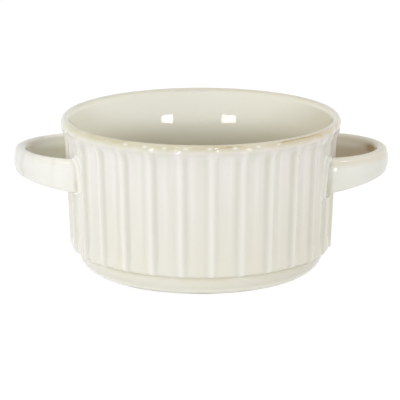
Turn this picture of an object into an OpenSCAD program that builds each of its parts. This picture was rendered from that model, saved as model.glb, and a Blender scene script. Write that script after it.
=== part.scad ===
// Lug soup bowl: a fluted stoneware bowl with a strap handle on each side.
// The origin is the centre of the foot's standing face, +Z is up and +X runs to the right handle.

/* [Bowl] */
// Outer diameter of the rim
rim_d = 130; // [115:1:150]
// Height from the standing face to the crest of the rim
bowl_h = 71.5; // [62:0.5:90]
// Thickness of the rounded lip
lip_t = 3.7; // [2.8:0.1:5]
// Thickness of the wall behind the flutes
wall_t = 4.4; // [3:0.1:5.5]
// Thickness of the floor over the foot's recess
floor_t = 5.2; // [4:0.1:8]
// Radius of the inner corner between wall and floor
inner_corner_r = 14; // [6:0.5:20]

/* [Rim] */
// How far the rim stands out past the ridges
rim_flare = 1.8; // [0.8:0.1:3]
// Height over which the wall flares out to the rim
rim_flare_h = 7.5; // [5:0.5:12]
// Height of the straight band between the flare and the crest
rim_band_h = 3.5; // [2.5:0.1:6]
// Angle from upright of the rim's flare on the inside
inner_flare_angle = 16.3; // [10:0.1:20]
// Radius that bends the inner wall into that flare
inner_bend_r = 44; // [20:1:50]

/* [Flutes] */
// Number of flutes around the wall
flute_count = 28; // [22:1:34]
// Width of the ridge left between two flutes
ridge_w = 2; // [1.2:0.1:4]
// Depth of a flute below its ridges
flute_depth = 1.25; // [0.8:0.05:1.8]
// Height over which a flute's floor rises to its upper end
flute_end_h = 6.2; // [4:0.1:8]
// Distance from the crest of the rim down to the upper end of a flute
flute_end_drop = 3.2; // [3:0.1:6]
// How much narrower the ridges stand at the ledge than under the rim, in radius
wall_taper = 1.9; // [0:0.1:4]
// Turn of the first ridge from the front, in degrees
flute_turn = 4.4; // [0:0.1:12]

/* [Foot] */
// Diameter of the plain band under the fluted wall
foot_band_d = 114.6; // [100:0.2:120]
// Height of the seam between the band and the ledge
foot_band_h = 9; // [7:0.5:14]
// Radius that rounds the band into the standing face
foot_round_r = 7.6; // [4:0.2:8.5]
// Width of the standing face
foot_ring_w = 6; // [4:0.5:9]
// Height of the recess inside the standing face
foot_recess_h = 2.2; // [1:0.1:4]
// Depth of the seam's groove
seam_depth = 0.6; // [0.2:0.1:1.5]
// Height of the ledge's sloping underside
ledge_h = 2.3; // [1.5:0.1:5]
// Radius that rounds the lower end of the ridges
ledge_round_r = 1; // [0.4:0.1:2]

/* [Handles] */
// Width over both handles
handle_span = 174.6; // [160:0.2:200]
// Width of one loop along the wall, over its two straps
handle_w = 54; // [40:0.5:60]
// Thickness of the strap
strap_t = 5.4; // [4:0.1:8]
// Height of the strap at the wall
strap_root_h = 18.1; // [14:0.1:24]
// Height of the strap at the tip of the loop
strap_tip_h = 11.9; // [8:0.1:18]
// Radius that rounds the strap's edges
strap_edge_r = 2.4; // [1:0.1:2.6]
// Distance from the crest of the rim down to the strap's upper edge
strap_drop = 14.3; // [13:0.1:24]

/* [Slip joints] */
// How far the slip stands out past the ridges
slip_t = 0.9; // [0.4:0.1:2]
// How far the slip shows around the strap's end
slip_margin = 1.1; // [0.8:0.1:2.5]

/* [Hidden] */
$fn = 144;

// Points on a quarter arc of a profile, and on a flare
arc_points = 8;
// Points on each rounded edge of the strap's section, and rings along a loop
edge_points = 6;
loop_rings = 40;
// Overrun of cutters past the surface that they cut
overrun = 2;

// Radii and heights of the wall
rim_r = rim_d / 2;
ridge_top_r = rim_r - rim_flare;
ridge_foot_r = ridge_top_r - wall_taper;
flare_top_z = bowl_h - rim_band_h;
flare_foot_z = flare_top_z - rim_flare_h;
ledge_z = foot_band_h + ledge_h + ledge_round_r;
wall_h = flare_foot_z - ledge_z;
lean = atan(wall_taper / wall_h);

lip_r = lip_t / 2;
lip_z = bowl_h - lip_r;

// The inner wall, which leans like the ridges up to the bend into the rim's flare
inner_foot_r = ridge_foot_r - flute_depth - wall_t;
inner_floor_z = foot_recess_h + floor_t;
inner_corner_z = inner_floor_z + inner_corner_r;

// Height at which the lines of the inner wall and its flare meet, and the centre of the bend between them
inner_meet_z = (rim_r - lip_t - lip_z * tan(inner_flare_angle) - inner_foot_r + inner_corner_z * tan(lean))
    / (tan(lean) - tan(inner_flare_angle));
inner_bend_foot_z = inner_meet_z - inner_bend_r * tan((inner_flare_angle - lean) / 2) * cos(lean);
inner_bend_x = inner_foot_r + (inner_bend_foot_z - inner_corner_z) * tan(lean) + inner_bend_r * cos(lean);
inner_bend_z = inner_bend_foot_z - inner_bend_r * sin(lean);

// Radii of the foot
foot_band_r = foot_band_d / 2;
foot_out_r = foot_band_r - foot_round_r;
foot_in_r = foot_out_r - foot_ring_w;
seam_r = foot_band_r - seam_depth;

// The cylinder that cuts one flute: half its chord, its sagitta and its radius
flute_half_w = (2 * PI * ridge_foot_r / flute_count - ridge_w) / 2;
flute_sagitta = flute_depth - ridge_foot_r + sqrt(pow(ridge_foot_r, 2) - pow(flute_half_w, 2));
flute_r = (pow(flute_half_w, 2) + pow(flute_sagitta, 2)) / (2 * flute_sagitta);
flute_pitch = 360 / flute_count;
flute_end_z = bowl_h - flute_end_drop;
flute_run_z = flute_end_z - flute_end_h;
flute_run_r = ridge_foot_r - flute_depth + (flute_end_z - ledge_z) * tan(lean);
flute_end_r = flute_r - (rim_r - flute_run_r);

// Height of the straps' upper edges
strap_top_z = bowl_h - strap_drop;

// The loop's centre line is half an ellipse in plan, from root_x out to the tip
tip_r = handle_span / 2;
loop_half_w = (handle_w - strap_t) / 2;
root_x = sqrt(pow(ridge_foot_r, 2) - pow(handle_w / 2, 2));
loop_reach = tip_r - strap_t / 2 - root_x;
strap_end_turn = asin(loop_half_w / ridge_top_r);
slip_reach_turn = 1.5 * flute_pitch;

// Point on an arc about (x, y), from angle a0 to a1 in steps
function arc(x, y, r, a0, a1) =
    [for (i = [0 : arc_points]) let (a = a0 + (a1 - a0) * i / arc_points) [x + r * cos(a), y + r * sin(a)]];

// Points on a smooth flare from (r0, z0) to (r1, z1)
function flare(r0, z0, r1, z1) =
    [for (i = [0 : arc_points]) let (u = i / arc_points)
        [r0 + (r1 - r0) * (1 - cos(180 * u)) / 2, z0 + (z1 - z0) * u]];

// The outer surface from the standing face up to the lip
outer_profile = concat(
    arc(foot_out_r, foot_round_r, foot_round_r, -90, 0),
    [[foot_band_r, foot_band_h - seam_depth], [seam_r, foot_band_h]],
    arc(ridge_foot_r - ledge_round_r, ledge_z, ledge_round_r, -60, 0),
    flare(ridge_top_r, flare_foot_z, rim_r, flare_top_z),
    arc(rim_r - lip_r, lip_z, lip_r, 0, 180));

// The inner surface from the lip down to the floor, and the foot's recess
inner_profile = concat(
    arc(inner_bend_x, inner_bend_z, inner_bend_r, 180 - inner_flare_angle, 180 - lean),
    arc(inner_foot_r - inner_corner_r, inner_corner_z, inner_corner_r, 0, -90),
    [[0, inner_floor_z], [0, foot_recess_h], [foot_in_r - foot_recess_h, foot_recess_h], [foot_in_r, 0]]);

// One flute's cutter, standing on +X and kept clear of its neighbours
module flute_cutter() {
    foot_z = -ledge_h - overrun;
    run_h = flute_run_z - ledge_z;
    end_h = flute_end_z - flute_run_z;
    box_in = ridge_foot_r - flute_depth - overrun;
    box_w = 2 * flute_half_w + ridge_w / 2;
    intersection() {
        translate([ridge_foot_r - flute_depth + flute_r, 0, ledge_z])
            rotate([0, lean, 0])
                rotate_extrude()
                    polygon([[0, foot_z], [flute_r, foot_z], [flute_r, run_h], [flute_end_r, run_h + end_h],
                        [0, run_h + end_h]]);
        translate([box_in, -box_w / 2, 0]) cube([rim_r + overrun - box_in, box_w, bowl_h]);
    }
}

// The flutes whose middle lies within reach degrees of the direction turn
module flutes(turn = 0, reach = 180) {
    for (i = [0 : flute_count - 1]) {
        a = -90 + flute_turn + flute_pitch * (i + 0.5);
        away = abs((a - turn + 540) % 360 - 180);
        if (away <= reach) rotate([0, 0, a]) flute_cutter();
    }
}

// A solid of the wall's ridges, grown by a thickness
module ridge_cone(grown = 0) {
    translate([0, 0, ledge_z])
        cylinder(r1 = ridge_foot_r + grown, r2 = ridge_top_r + grown, h = wall_h);
}

module bowl_body() {
    color("ivory")
        difference() {
            rotate_extrude() polygon(concat(outer_profile, inner_profile));
            flutes();
        }
}

// Upright rounded rectangle of the strap's section, as an exact outline
module rounded_outline(w, h, r) {
    square([w, h - 2 * r], center = true);
    square([w - 2 * r, h], center = true);
    for (x = [-1, 1], y = [-1, 1]) translate([x * (w / 2 - r), y * (h / 2 - r)]) circle(r);
}

// Height of the strap where the loop's angle is t, which is 90 at the wall and 0 at the tip
function strap_h(t) = strap_root_h + (strap_tip_h - strap_root_h) * cos(t);

// Section of the strap as [across, up] points, for a strap of height h
function strap_section(h) =
    [for (q = [0 : 3], i = [0 : edge_points - 1])
        let (a = 90 * (q + i / (edge_points - 1)),
            x = (q == 0 || q == 3) ? 1 : -1,
            y = (q < 2) ? 1 : -1)
        [x * (strap_t / 2 - strap_edge_r) + strap_edge_r * cos(a),
            y * (h / 2 - strap_edge_r) + strap_edge_r * sin(a)]];

// The strap's ring of points at the loop's angle t, its section square to the centre line
function strap_ring(t) =
    let (slope = [-loop_reach * sin(t), loop_half_w * cos(t)],
        across = [slope[1], -slope[0]] / norm(slope),
        h = strap_h(t))
    [for (p = strap_section(h))
        [root_x + loop_reach * cos(t) + across[0] * p[0],
            loop_half_w * sin(t) + across[1] * p[0],
            strap_top_z - h / 2 + p[1]]];

// A tube of triangles through rings of n points, closed at both ends
module tube(rings) {
    n = len(rings[0]);
    last = (len(rings) - 1) * n;
    polyhedron(
        points = [for (ring = rings, p = ring) p],
        faces = concat(
            [for (k = [0 : len(rings) - 2], i = [0 : n - 1])
                let (j = (i + 1) % n) [k * n + i, k * n + j, (k + 1) * n + j]],
            [for (k = [0 : len(rings) - 2], i = [0 : n - 1])
                let (j = (i + 1) % n) [k * n + i, (k + 1) * n + j, (k + 1) * n + i]],
            [[for (i = [0 : n - 1]) n - 1 - i]],
            [[for (i = [0 : n - 1]) last + i]]));
}

// A loop on +X, cut to sit on its slip joints
module handle() {
    color("ivory")
        difference() {
            tube([for (k = [0 : loop_rings]) strap_ring(-90 + 180 * k / loop_rings)]);
            ridge_cone(slip_t);
        }
}

// The slip under one end of a loop: side is 1 on the right and -1 on the left, end -1 at the front
module slip_joint(side, end) {
    color("tan")
        difference() {
            intersection() {
                ridge_cone(slip_t);
                on_side(side)
                    translate([root_x - strap_t, end * loop_half_w, strap_top_z - strap_root_h / 2])
                        rotate([90, 0, 90])
                            linear_extrude(tip_r - root_x)
                                rounded_outline(strap_t + 2 * slip_margin, strap_root_h + 2 * slip_margin,
                                    strap_edge_r + slip_margin);
            }
            difference() {
                ridge_cone();
                flutes(90 - side * 90 + side * end * strap_end_turn, slip_reach_turn);
            }
        }
}

module on_side(side) {
    mirror([side < 0 ? 1 : 0, 0, 0]) children();
}

bowl_body();
on_side(1) handle();  // right_handle
on_side(-1) handle();  // left_handle
slip_joint(1, -1);  // right_front_slip_joint
slip_joint(1, 1);  // right_back_slip_joint
slip_joint(-1, -1);  // left_front_slip_joint
slip_joint(-1, 1);  // left_back_slip_joint
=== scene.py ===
"""Lug soup bowl: a fluted stoneware bowl with two strap handles, dressed in a glossy cream glaze.

Every length is in metres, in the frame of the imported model: +Z up, +X towards the right handle and the
front on -Y. Each piece is a closed mesh with more form than its solid, and stands for that solid.
"""
import logging
import math
from dataclasses import dataclass
from enum import Enum

import bpy
import numpy as np
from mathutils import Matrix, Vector

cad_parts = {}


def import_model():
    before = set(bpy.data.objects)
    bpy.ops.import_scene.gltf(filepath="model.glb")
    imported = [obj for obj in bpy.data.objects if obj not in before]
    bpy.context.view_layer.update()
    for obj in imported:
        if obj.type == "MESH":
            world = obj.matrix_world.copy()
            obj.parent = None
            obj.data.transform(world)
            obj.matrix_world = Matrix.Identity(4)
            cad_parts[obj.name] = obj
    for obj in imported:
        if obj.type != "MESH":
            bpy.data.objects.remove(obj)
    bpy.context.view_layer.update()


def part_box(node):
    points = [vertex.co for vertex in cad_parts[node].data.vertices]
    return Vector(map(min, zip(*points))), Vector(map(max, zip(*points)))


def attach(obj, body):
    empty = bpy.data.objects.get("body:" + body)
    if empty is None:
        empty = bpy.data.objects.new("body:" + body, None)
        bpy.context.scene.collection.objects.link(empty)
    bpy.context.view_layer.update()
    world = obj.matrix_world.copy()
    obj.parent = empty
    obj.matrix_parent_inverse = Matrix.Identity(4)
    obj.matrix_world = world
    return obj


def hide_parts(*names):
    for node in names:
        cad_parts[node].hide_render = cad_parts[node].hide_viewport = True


LOG = logging.getLogger("lug_soup_bowl")
MM = 0.001
Socket = bpy.types.NodeSocket
Values = np.ndarray | float
Colour = tuple[float, float, float]
Triple = tuple[float, float, float]
# Where an easing starts and how far on it ends, or a hump's middle and its width.
Span = tuple[float, float]
# Two values of a socket, and the two results that they are eased to.
Ramp = tuple[float, float, float, float]


class Side(Enum):
    """The side of the bowl that a handle is on, as the sign of its X."""

    RIGHT = 1
    LEFT = -1


class End(Enum):
    """The end of a handle's loop, as the sign of its Y."""

    FRONT = -1
    BACK = 1


def ease(value: Values, start: Values, length: float) -> Values:
    """Eases values from 0 at start to 1 a length further on, or lower down if the length is negative."""
    share = np.clip((value - start) / length, 0.0, 1.0)
    return share * share * (3.0 - 2.0 * share)


def hump(value: Values, middle: Values, width: float) -> Values:
    """A soft hump: 1 at the middle and next to nothing from two widths away."""
    return np.exp(-(((value - middle) / width) ** 2))


def arc(x: float, y: float, radius: float, start: float, end: float, steps: int) -> np.ndarray:
    """Points on an arc.

    Args:
        x: First coordinate of the centre.
        y: Second coordinate of the centre.
        radius: Radius of the arc.
        start: Angle of the first point, in degrees.
        end: Angle of the last point, in degrees.
        steps: Number of stretches between the points.

    Returns:
        An array of steps + 1 points.
    """
    angle = np.radians(np.linspace(start, end, steps + 1))
    return np.stack([x + radius * np.cos(angle), y + radius * np.sin(angle)], axis=1)


def straight(start: Span, end: Span, steps: int) -> np.ndarray:
    """An array of steps + 1 points, evenly spaced from start to end."""
    return np.linspace(start, end, steps + 1)


def ring_mesh(name: str, rings: np.ndarray) -> bpy.types.Object:
    """Makes a closed, smooth mesh from rings of points, each end closed by a fan.

    Args:
        name: Name of the new object.
        rings: Points as an array of rings by points by 3, the first ring's inside facing outwards.

    Returns:
        The new object, linked to the scene.
    """
    count, size, _ = rings.shape
    ends = np.stack([rings[0].mean(axis=0), rings[-1].mean(axis=0)])
    points = np.concatenate([rings.reshape(-1, 3), ends])
    here = np.arange(count * size).reshape(count, size)
    beside = np.roll(here, -1, axis=1)
    sides = np.stack([here[:-1], beside[:-1], beside[1:], here[1:]], axis=-1).reshape(-1, 4)
    first, last = count * size, count * size + 1
    faces = sides.tolist()
    faces += [[first, int(b), int(a)] for a, b in zip(here[0], beside[0])]
    faces += [[last, int(a), int(b)] for a, b in zip(here[-1], beside[-1])]
    mesh = bpy.data.meshes.new(name)
    mesh.from_pydata(points.tolist(), [], faces)
    mesh.validate()
    mesh.polygons.foreach_set("use_smooth", [True] * len(mesh.polygons))
    piece = bpy.data.objects.new(name, mesh)
    bpy.context.scene.collection.objects.link(piece)
    return piece


def paint(piece: bpy.types.Object, maps: dict[str, np.ndarray]) -> None:
    """Stores numbers at a ring mesh's points, as attributes that its material reads.

    Args:
        piece: The object whose mesh is painted.
        maps: The numbers of each attribute as an array of rings by points. The two end points take the
            means of the first and the last ring.
    """
    for name, values in maps.items():
        flat = np.concatenate([values.reshape(-1), [values[0].mean(), values[-1].mean()]])
        layer = piece.data.attributes.new(name, "FLOAT", "POINT")
        layer.data.foreach_set("value", flat.astype(np.float32))


def ripple(points: np.ndarray, size: float, seed: int) -> np.ndarray:
    """A soft unevenness without repeats, between about -1 and 1, from a few crossing waves.

    Args:
        points: Points as an array whose last axis is 3.
        size: Length of the shortest wave.
        seed: Seed of the waves' directions and phases.

    Returns:
        One number for each point.
    """
    waves = 7
    longest = 2.6
    source = np.random.default_rng(seed)
    total = np.zeros(points.shape[:-1])
    for _ in range(waves):
        way = source.normal(size=3)
        way /= np.linalg.norm(way)
        pitch = size * source.uniform(1.0, longest)
        total += np.sin(points @ way * 2.0 * math.pi / pitch + source.uniform(0.0, 2.0 * math.pi))
    return total / math.sqrt(waves)


@dataclass(frozen=True)
class BowlForm:
    """Sizes of the bowl's turned form, its flutes and the beads of glaze along its rim."""

    rim_radius: float
    height: float
    lip: float = 3.7 * MM
    rim_flare: float = 1.8 * MM
    flare_height: float = 7.5 * MM
    rim_band: float = 3.5 * MM
    taper: float = 1.9 * MM
    inner_tilt: float = 16.3
    inner_tilt_high: float = 60.2 * MM
    inner_tilt_low: float = 49.5 * MM
    floor: float = 5.2 * MM
    inner_corner: float = 14.0 * MM
    foot_band_radius: float = 57.3 * MM
    foot_band_height: float = 8.7 * MM
    foot_round: float = 8.0 * MM
    foot_ring: float = 6.0 * MM
    foot_recess: float = 2.2 * MM
    seam_depth: float = 0.4 * MM
    ledge_height: float = 1.5 * MM
    ledge_round: float = 1.6 * MM
    flutes: int = 28
    flute_turn: float = 4.4
    flute_depth: float = 1.3 * MM
    flute_end_drop: float = 2.0 * MM
    flute_end_length: float = 3.0 * MM
    flute_end_fade: float = 6.0 * MM
    flute_foot_share: float = 0.45
    flute_foot_fade: float = 7.0 * MM
    flare_cut: float = 0.35
    flute_corner: float = 3.0 * MM
    rim_beads: int = 40
    bead_depth: float = 0.70 * MM
    bead_span: Span = (1.7 * MM, 1.4 * MM)
    bead_phase: float = 2.86
    bead_drift: float = 0.7
    bead_drift_waves: float = 6.0
    bead_drift_phase: float = 1.15
    crest: float = 0.35 * MM
    groove_place: float = 3.1 * MM
    pillow: float = 0.40 * MM
    crease_sway: float = 0.19
    crease_sharpness: float = 1.4
    crease_seed: int = 2672

    @classmethod
    def from_frame(cls) -> "BowlForm":
        """Takes the rim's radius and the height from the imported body."""
        low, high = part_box("bowl_body")
        return cls(rim_radius=(high[0] - low[0]) / 2.0, height=high[2])

    @property
    def ridge_top(self) -> float:
        """Radius of the ridges where the rim begins to flare."""
        return self.rim_radius - self.rim_flare

    @property
    def ridge_foot(self) -> float:
        """Radius of the ridges at the ledge."""
        return self.ridge_top - self.taper

    @property
    def ledge_z(self) -> float:
        """Height at which the ridges begin to round under."""
        return self.foot_band_height + self.ledge_height + self.ledge_round

    @property
    def flare_top_z(self) -> float:
        """Height at which the flare reaches the rim's radius."""
        return self.height - self.rim_band

    @property
    def flare_foot_z(self) -> float:
        """Height at which the wall begins to flare."""
        return self.flare_top_z - self.flare_height

    @property
    def flute_end_z(self) -> float:
        """Height of the flutes' upper ends."""
        return self.height - self.flute_end_drop

    @property
    def pitch(self) -> float:
        """Width of one flute and one ridge, measured on the ridges half way up the wall."""
        return math.pi * (self.ridge_top + self.ridge_foot) / self.flutes

    def ridge_radius(self, z: np.ndarray) -> np.ndarray:
        """Radius of the straight wall over its ridges at heights z."""
        rise = (z - self.ledge_z) / (self.flare_foot_z - self.ledge_z)
        return self.ridge_foot + self.taper * np.clip(rise, 0.0, 1.0)

    def flare(self, z: np.ndarray) -> np.ndarray:
        """How far the rim's flare stands out past the straight wall at heights z."""
        rise = np.clip((z - self.flare_foot_z) / self.flare_height, 0.0, 1.0)
        return self.rim_flare * (1.0 - np.cos(math.pi * rise)) / 2.0

    def bead(self, turn: np.ndarray) -> np.ndarray:
        """How near each angle lies to a bead of glaze on the rim: 1 on a bead and -1 between two."""
        drift = self.bead_drift * np.sin(turn * self.bead_drift_waves - self.bead_drift_phase)
        return np.cos(turn * self.rim_beads - drift - self.bead_phase)

    def rim_wave(self, turn: np.ndarray, z: np.ndarray) -> np.ndarray:
        """How far the rim's outer edge stands out: 0 on a bead, and negative between two beads."""
        near = hump(self.height - z, *self.bead_span)
        return -self.bead_depth * near * (1.0 - self.bead(turn)) / 2.0

    def flute_share(self, turn: np.ndarray) -> np.ndarray:
        """Place of each angle across its flute, as a count of flutes from the first ridge."""
        return (turn - math.radians(self.flute_turn)) * self.flutes / (2.0 * math.pi)

    def into_flute(self, turn: np.ndarray, z: np.ndarray) -> np.ndarray:
        """How far points lie inside a flute's outline, which has round corners at its upper end.

        Args:
            turn: Angles from the front towards +X, in radians.
            z: Heights, of the same shape.

        Returns:
            The distance from the outline at each point, 0 on a ridge and above the upper ends.
        """
        from_ridge = (0.5 - np.abs(self.flute_share(turn) % 1.0 - 0.5)) * self.pitch
        from_end = (self.flute_end_z - z) * self.flute_corner / self.flute_end_length
        short_side = np.maximum(self.flute_corner - from_ridge, 0.0)
        short_end = np.maximum(self.flute_corner - from_end, 0.0)
        rounded = np.maximum(self.flute_corner - np.hypot(short_side, short_end), 0.0)
        return rounded + np.maximum(np.minimum(from_ridge, from_end) - self.flute_corner, 0.0)

    def crease(self, turn: np.ndarray) -> np.ndarray:
        """How near points are to the soft crease along each flute's floor, whose place is uneven.

        Args:
            turn: Angles from the front towards +X, in radians.

        Returns:
            A share from 0 in the grooves beside the ridges to 1 on the crease.
        """
        source = np.random.default_rng(self.crease_seed)
        places = 0.5 + source.uniform(-self.crease_sway, self.crease_sway, self.flutes)
        count = self.flute_share(turn)
        place = places[np.floor(count).astype(int) % self.flutes]
        across = count % 1.0
        groove = self.groove_place / self.pitch
        left = (across - groove) / (place - groove)
        right = (1.0 - groove - across) / (1.0 - groove - place)
        rise = np.clip(np.minimum(left, right), 0.0, 1.0)
        return np.sin(rise * math.pi / 2.0) ** self.crease_sharpness

    def flute_cut(self, turn: np.ndarray, z: np.ndarray) -> np.ndarray:
        """Depth of the flutes below the turned form: deepest beside the ridges, a little less in the middle.

        Args:
            turn: Angles from the front towards +X, in radians.
            z: Heights, of the same shape.

        Returns:
            The depth at each point, 0 on a ridge and above the flutes' upper ends.
        """
        inside = self.into_flute(turn, np.maximum(z, self.ledge_z))
        side = ease(inside, self.crest, self.groove_place - self.crest)
        opened = ease(np.maximum(z, self.ledge_z), self.flute_end_z, -self.flute_end_fade)
        flared = self.flare_cut * self.flare(z) * ease(inside, 0.0, self.flute_corner)
        start = self.flute_foot_share
        faded = start + (1.0 - start) * ease(z, self.ledge_z, self.flute_foot_fade)
        return opened * faded * ((self.flute_depth - self.pillow * self.crease(turn)) * side + flared)


@dataclass(frozen=True)
class Setting:
    """How one handle was set on by hand: its neck, the slip around it, and where its glaze is stained."""

    neck: float
    neck_start: float
    pad_margin: float
    pad_corner: float
    bead: float
    upper_tan: float
    upper_tan_height: float
    tip_stain: float
    bead_height: float
    inner_margin: float
    pad_shoulder: float
    pad_foot: float
    knob: float
    drop: float
    slant: float
    groove_tan: float
    front_rise: float
    back_rise: float
    front_height: float
    groove_tan_drop: float = 8.0 * MM


SETTINGS = {
    Side.RIGHT: Setting(
        neck=1.2 * MM, neck_start=63.1 * MM, pad_margin=-1.1 * MM, pad_corner=2.0 * MM,
        bead=0.6 * MM, upper_tan=0.62, upper_tan_height=5.2 * MM, tip_stain=1.35,
        bead_height=0.65 * MM, inner_margin=0.4 * MM, pad_shoulder=2.6 * MM, pad_foot=1.5 * MM,
        knob=1.4 * MM, drop=0.5 * MM, slant=2.2 * MM, groove_tan=0.3,
        front_rise=-0.6 * MM, back_rise=0.6 * MM, front_height=17.4 * MM,
    ),
    Side.LEFT: Setting(
        neck=0.2 * MM, neck_start=61.5 * MM, pad_margin=3.2 * MM, pad_corner=4.8 * MM,
        bead=2.25 * MM, upper_tan=0.20, upper_tan_height=3.4 * MM, tip_stain=0.6,
        bead_height=0.7 * MM, inner_margin=1.6 * MM, pad_shoulder=8.5 * MM, pad_foot=0.9 * MM,
        knob=0.6 * MM, drop=0.0, slant=0.6 * MM, groove_tan=0.6,
        front_rise=-1.1 * MM, back_rise=0.4 * MM, front_height=16.2 * MM,
    ),
}


@dataclass(frozen=True)
class StrapForm:
    """Sizes of one handle's strap and of the slip that beds its ends."""

    setting: Setting
    tip_x: float
    top_z: float
    half_width: float
    root_x: float
    thickness: float = 5.4 * MM
    root_height: float = 18.1 * MM
    tip_height: float = 11.9 * MM
    edge_radius: float = 2.0 * MM
    crown: float = 0.65 * MM
    neck_length: float = 1.1 * MM
    tip_swell: float = 1.2 * MM
    drop_place: Span = (5.9 * MM, 1.3 * MM)
    drop_length: float = 1.1 * MM
    pad_head: float = 1.1 * MM

    @classmethod
    def from_frame(cls, side: Side, bowl: BowlForm) -> "StrapForm":
        """Takes the reach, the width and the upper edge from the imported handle.

        Args:
            side: The handle's side.
            bowl: Sizes of the wall that the loop's ends reach into.

        Returns:
            The strap's sizes.
        """
        low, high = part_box(f"{side.name.lower()}_handle")
        half = (high[1] - low[1]) / 2.0
        root = math.sqrt(bowl.ridge_foot ** 2 - half ** 2)
        tip = max(abs(low[0]), abs(high[0]))
        return cls(SETTINGS[side], tip_x=tip, top_z=high[2], half_width=half, root_x=root)

    @property
    def centre_half_width(self) -> float:
        """Half the width of the loop's centre line."""
        return self.half_width - self.thickness / 2.0

    @property
    def reach(self) -> float:
        """Distance from the loop's root to the tip of its centre line."""
        return self.tip_x - self.thickness / 2.0 - self.root_x

    def root(self, end: End) -> Span:
        """How far a root's upper edge is set above the tip's, and how high the root is."""
        front = (self.setting.front_rise, self.setting.front_height)
        return front if end is End.FRONT else (self.setting.back_rise, self.root_height)

    def height(self, bend: float) -> float:
        """Height of the strap at the loop's angle, which is 0 at the tip."""
        _, root_height = self.root(End.FRONT if bend < 0.0 else End.BACK)
        return root_height + (self.tip_height - root_height) * math.cos(bend)

    def rise(self, bend: float) -> float:
        """How far the strap's upper edge is above the tip's at the loop's angle."""
        root_rise, _ = self.root(End.FRONT if bend < 0.0 else End.BACK)
        return root_rise * math.sin(bend) ** 2


@dataclass(frozen=True)
class GlazeFinish:
    """Colours and surface of the cream glaze, in linear light, and how its clouds and streaks mix them.

    The inside's colours, the tint along X and part of the pooled and ridge colours are painted light and
    shade.
    """

    milk: Colour = (0.84, 0.825, 0.785)
    cream: Colour = (0.815, 0.795, 0.68)
    blush: Colour = (0.885, 0.845, 0.835)
    sage: Colour = (0.81, 0.815, 0.735)
    # Painted shade: a tint that darkens the glaze along X, between the two places below.
    painted_shade_tint: Colour = (0.90, 0.885, 0.865)
    painted_shade_from: float = 0.0
    painted_shade_to: float = 65.0 * MM
    thin_left: Colour = (0.66, 0.635, 0.44)
    thin_right: Colour = (0.64, 0.555, 0.375)
    edge: Colour = (0.46, 0.34, 0.19)
    # The inner colour is painted light under the body's rim and the deep colour painted shade low inside;
    # the pooled colour is partly painted shade, and the ridge colour is whiter glaze with painted
    # highlights.
    inner: Colour = (0.975, 0.97, 0.875)
    inner_shade_colour: Colour = (0.40, 0.335, 0.145)
    pooled: Colour = (0.755, 0.745, 0.67)
    ridge: Colour = (0.895, 0.885, 0.83)
    bare: Colour = (0.40, 0.27, 0.15)
    gloss: float = 0.045
    shine: float = 0.5
    clay_roughness: float = 0.75
    cloud_size: float = 26.0 * MM
    cloud_stretch: Triple = (1.0, 1.0, 0.5)
    streak_size: float = 6.0 * MM
    streak_stretch: Triple = (1.0, 1.0, 0.12)
    fleck_size: float = 1.1 * MM
    skin_size: float = 5.0 * MM
    skin_depth: float = 0.05 * MM
    even: Triple = (1.0, 1.0, 1.0)
    cream_clouds: Ramp = (0.3, 0.65, 0.55, 1.0)
    blush_streaks: Ramp = (0.62, 0.38, 0.0, 1.0)
    sage_streaks: Ramp = (0.5, 0.72, 0.0, 0.5)
    inner_start: Ramp = (0.0, 0.04, 0.0, 1.0)
    inner_shade_start: Ramp = (0.25, 0.85, 0.0, 1.0)
    foot_clouds: Ramp = (0.2, 0.5, 0.7, 1.0)
    thin_clouds: Ramp = (0.3, 0.62, 0.7, 1.0)
    edge_start: Ramp = (0.86, 1.0, 0.0, 0.9)
    fleck_spots: Ramp = (0.7, 0.78, 0.0, 0.35)
    fleck_clouds: Ramp = (0.35, 0.6, 0.2, 1.0)


# The left handle's glaze is mixed lighter than the right's as painted light. On both, the tint darkens the
# glaze towards the tip and the inner and deep colours darken the inner face, as painted shade; the pooled
# colour is a real golden-brown stain.
HANDLE_FINISHES_WITH_PAINTED_LIGHT = {
    Side.RIGHT: GlazeFinish(
        milk=(0.84, 0.835, 0.78), cream=(0.83, 0.82, 0.735), blush=(0.84, 0.835, 0.78),
        inner=(0.82, 0.79, 0.70), inner_shade_colour=(0.66, 0.57, 0.43), pooled=(0.42, 0.315, 0.165),
        thin_left=(0.72, 0.65, 0.505), thin_right=(0.72, 0.65, 0.505),
        painted_shade_tint=(0.90, 0.905, 0.91), painted_shade_from=66.0 * MM, painted_shade_to=86.0 * MM,
    ),
    Side.LEFT: GlazeFinish(
        milk=(0.955, 0.95, 0.90), cream=(0.945, 0.94, 0.865), blush=(0.955, 0.945, 0.895),
        inner=(0.87, 0.86, 0.77), inner_shade_colour=(0.73, 0.71, 0.57), pooled=(0.66, 0.57, 0.44),
        thin_left=(0.77, 0.68, 0.53), thin_right=(0.77, 0.68, 0.53),
        painted_shade_tint=(0.855, 0.86, 0.87), painted_shade_from=-64.0 * MM, painted_shade_to=-87.0 * MM,
    ),
}


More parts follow.
